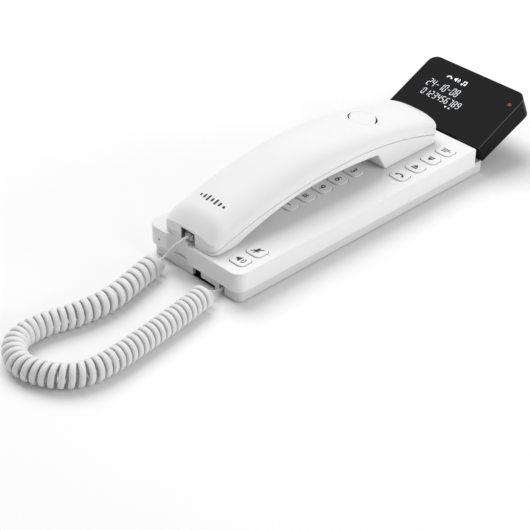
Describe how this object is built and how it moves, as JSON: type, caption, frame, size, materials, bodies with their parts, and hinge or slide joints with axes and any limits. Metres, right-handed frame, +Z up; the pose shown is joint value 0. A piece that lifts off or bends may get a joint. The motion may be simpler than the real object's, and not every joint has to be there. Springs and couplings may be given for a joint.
{
  "type": "corded telephone",
  "caption": "Slimline corded wall and desk telephone: flat white base, arched handset on it, hinged black display and curly cord.",
  "frame": {"origin": "centre of the base's underside, midway between the two wall keyholes", "axes": "+X towards the side with the small key column, +Y towards the display end, +Z up out of the base's top"},
  "size_m": [0.0884, 0.4194, 0.0596],
  "materials": {
    "white_plastic": "satin-gloss moulded ABS, slightly crowned highlights",
    "case_plastic": "satin moulded ABS",
    "key_plastic": "satin moulded key caps with grey printed signs",
    "rubber_grey": "matt rubber",
    "steel": "plain zinc-plated steel",
    "circuit_board": "green solder mask",
    "black_plastic": "black moulded plastic",
    "black_gloss": "high-gloss black, mirror-like",
    "lcd_glass": "dark liquid-crystal glass",
    "led_red": "clear red lamp",
    "ribbon_film": "flexible circuit film",
    "clear_plug": "translucent modular plug",
    "white_cord": "smooth soft vinyl, satin"
  },
  "bodies": {
    "base": {"upper_case": "white_plastic", "lower_case": "case_plastic", "rubber_feet": "rubber_grey", "case_screws": "steel", "ballast_weights": "steel", "main_board": "circuit_board", "board_screws": "steel", "keypad_membrane": "rubber_grey", "hook_switch": "black_plastic", "base_speaker": "black_plastic", "base_microphone": "black_plastic", "line_jack": "black_plastic", "base_cord_jack": "black_plastic", "hanger_tab": "white_plastic", "display_ribbon": "ribbon_film", "base_plug": "clear_plug", "base_lead": "white_cord", "cord_coil": "white_cord", "handset_lead": "white_cord"},
    "hook": {"hook_plunger": "white_plastic"},
    "display": {"display_rear_shell": "black_gloss", "display_window": "black_gloss", "display_lcd": "lcd_glass", "display_board": "circuit_board", "indicator_led": "led_red", "display_hinge_pins": "steel", "display_screws": "steel"},
    "handset": {"handset_back_shell": "white_plastic", "handset_front_shell": "white_plastic", "round_cap": "white_plastic", "receiver_speaker": "black_plastic", "receiver_gasket": "rubber_grey", "handset_microphone": "black_plastic", "handset_weight": "steel", "handset_cord_jack": "black_plastic", "handset_screws": "steel", "handset_plug": "clear_plug"},
    "key_1": {"key_1": "key_plastic"},
    "key_2": {"key_2": "key_plastic"},
    "key_3": {"key_3": "key_plastic"},
    "key_4": {"key_4": "key_plastic"},
    "key_5": {"key_5": "key_plastic"},
    "key_6": {"key_6": "key_plastic"},
    "key_7": {"key_7": "key_plastic"},
    "key_8": {"key_8": "key_plastic"},
    "key_9": {"key_9": "key_plastic"},
    "key_star": {"key_star": "key_plastic"},
    "key_0": {"key_0": "key_plastic"},
    "key_hash": {"key_hash": "key_plastic"},
    "key_flash": {"key_flash": "key_plastic"},
    "key_tone": {"key_tone": "key_plastic"},
    "key_program": {"key_program": "key_plastic"},
    "key_menu": {"key_menu": "key_plastic"},
    "key_down": {"key_down": "key_plastic"},
    "key_up": {"key_up": "key_plastic"},
    "key_call": {"key_call": "key_plastic"},
    "key_speaker": {"key_speaker": "key_plastic"},
    "key_mute": {"key_mute": "key_plastic"}
  },
  "joints": [
    {"name": "handset_lift", "type": "slide", "parent": "base", "child": "handset", "axis": [0, 0, 1], "range_m": [0, 0.06]},
    {"name": "hook_travel", "type": "slide", "parent": "base", "child": "hook", "axis": [0, 0, 1], "range_m": [0, 0.003]},
    {"name": "display_tilt", "type": "hinge", "parent": "base", "child": "display", "pos_m": [0, 0.11953, 0.01596], "axis": [1, 0, 0], "range_deg": [-24, 0]},
    {"name": "key_1_press", "type": "slide", "parent": "base", "child": "key_1", "axis": [0, 0, -1], "range_m": [0, 0.0012], "stiffness_N_per_m": 300, "springref_m": -0.0005},
    {"name": "key_2_press", "type": "slide", "parent": "base", "child": "key_2", "axis": [0, 0, -1], "range_m": [0, 0.0012], "stiffness_N_per_m": 300, "springref_m": -0.0005},
    {"name": "key_3_press", "type": "slide", "parent": "base", "child": "key_3", "axis": [0, 0, -1], "range_m": [0, 0.0012], "stiffness_N_per_m": 300, "springref_m": -0.0005},
    {"name": "key_4_press", "type": "slide", "parent": "base", "child": "key_4", "axis": [0, 0, -1], "range_m": [0, 0.0012], "stiffness_N_per_m": 300, "springref_m": -0.0005},
    {"name": "key_5_press", "type": "slide", "parent": "base", "child": "key_5", "axis": [0, 0, -1], "range_m": [0, 0.0012], "stiffness_N_per_m": 300, "springref_m": -0.0005},
    {"name": "key_6_press", "type": "slide", "parent": "base", "child": "key_6", "axis": [0, 0, -1], "range_m": [0, 0.0012], "stiffness_N_per_m": 300, "springref_m": -0.0005},
    {"name": "key_7_press", "type": "slide", "parent": "base", "child": "key_7", "axis": [0, 0, -1], "range_m": [0, 0.0012], "stiffness_N_per_m": 300, "springref_m": -0.0005},
    {"name": "key_8_press", "type": "slide", "parent": "base", "child": "key_8", "axis": [0, 0, -1], "range_m": [0, 0.0012], "stiffness_N_per_m": 300, "springref_m": -0.0005},
    {"name": "key_9_press", "type": "slide", "parent": "base", "child": "key_9", "axis": [0, 0, -1], "range_m": [0, 0.0012], "stiffness_N_per_m": 300, "springref_m": -0.0005},
    {"name": "key_star_press", "type": "slide", "parent": "base", "child": "key_star", "axis": [0, 0, -1], "range_m": [0, 0.0012], "stiffness_N_per_m": 300, "springref_m": -0.0005},
    {"name": "key_0_press", "type": "slide", "parent": "base", "child": "key_0", "axis": [0, 0, -1], "range_m": [0, 0.0012], "stiffness_N_per_m": 300, "springref_m": -0.0005},
    {"name": "key_hash_press", "type": "slide", "parent": "base", "child": "key_hash", "axis": [0, 0, -1], "range_m": [0, 0.0012], "stiffness_N_per_m": 300, "springref_m": -0.0005},
    {"name": "key_flash_press", "type": "slide", "parent": "base", "child": "key_flash", "axis": [0, 0, -1], "range_m": [0, 0.0012], "stiffness_N_per_m": 300, "springref_m": -0.0005},
    {"name": "key_tone_press", "type": "slide", "parent": "base", "child": "key_tone", "axis": [0, 0, -1], "range_m": [0, 0.0012], "stiffness_N_per_m": 300, "springref_m": -0.0005},
    {"name": "key_program_press", "type": "slide", "parent": "base", "child": "key_program", "axis": [0, 0, -1], "range_m": [0, 0.0012], "stiffness_N_per_m": 300, "springref_m": -0.0005},
    {"name": "key_menu_press", "type": "slide", "parent": "base", "child": "key_menu", "axis": [0, 0, -1], "range_m": [0, 0.0012], "stiffness_N_per_m": 300, "springref_m": -0.0005},
    {"name": "key_down_press", "type": "slide", "parent": "base", "child": "key_down", "axis": [0, 0, -1], "range_m": [0, 0.0012], "stiffness_N_per_m": 300, "springref_m": -0.0005},
    {"name": "key_up_press", "type": "slide", "parent": "base", "child": "key_up", "axis": [0, 0, -1], "range_m": [0, 0.0012], "stiffness_N_per_m": 300, "springref_m": -0.0005},
    {"name": "key_call_press", "type": "slide", "parent": "base", "child": "key_call", "axis": [0, 0, -1], "range_m": [0, 0.0012], "stiffness_N_per_m": 300, "springref_m": -0.0005},
    {"name": "key_speaker_press", "type": "slide", "parent": "base", "child": "key_speaker", "axis": [0, 0, -1], "range_m": [0, 0.0012], "stiffness_N_per_m": 300, "springref_m": -0.0005},
    {"name": "key_mute_press", "type": "slide", "parent": "base", "child": "key_mute", "axis": [0, 0, -1], "range_m": [0, 0.0012], "stiffness_N_per_m": 300, "springref_m": -0.0005}
  ],
  "couplings": [
    {"joint": "hook_travel", "follows": "handset_lift", "ratio": 0.05}
  ]
}
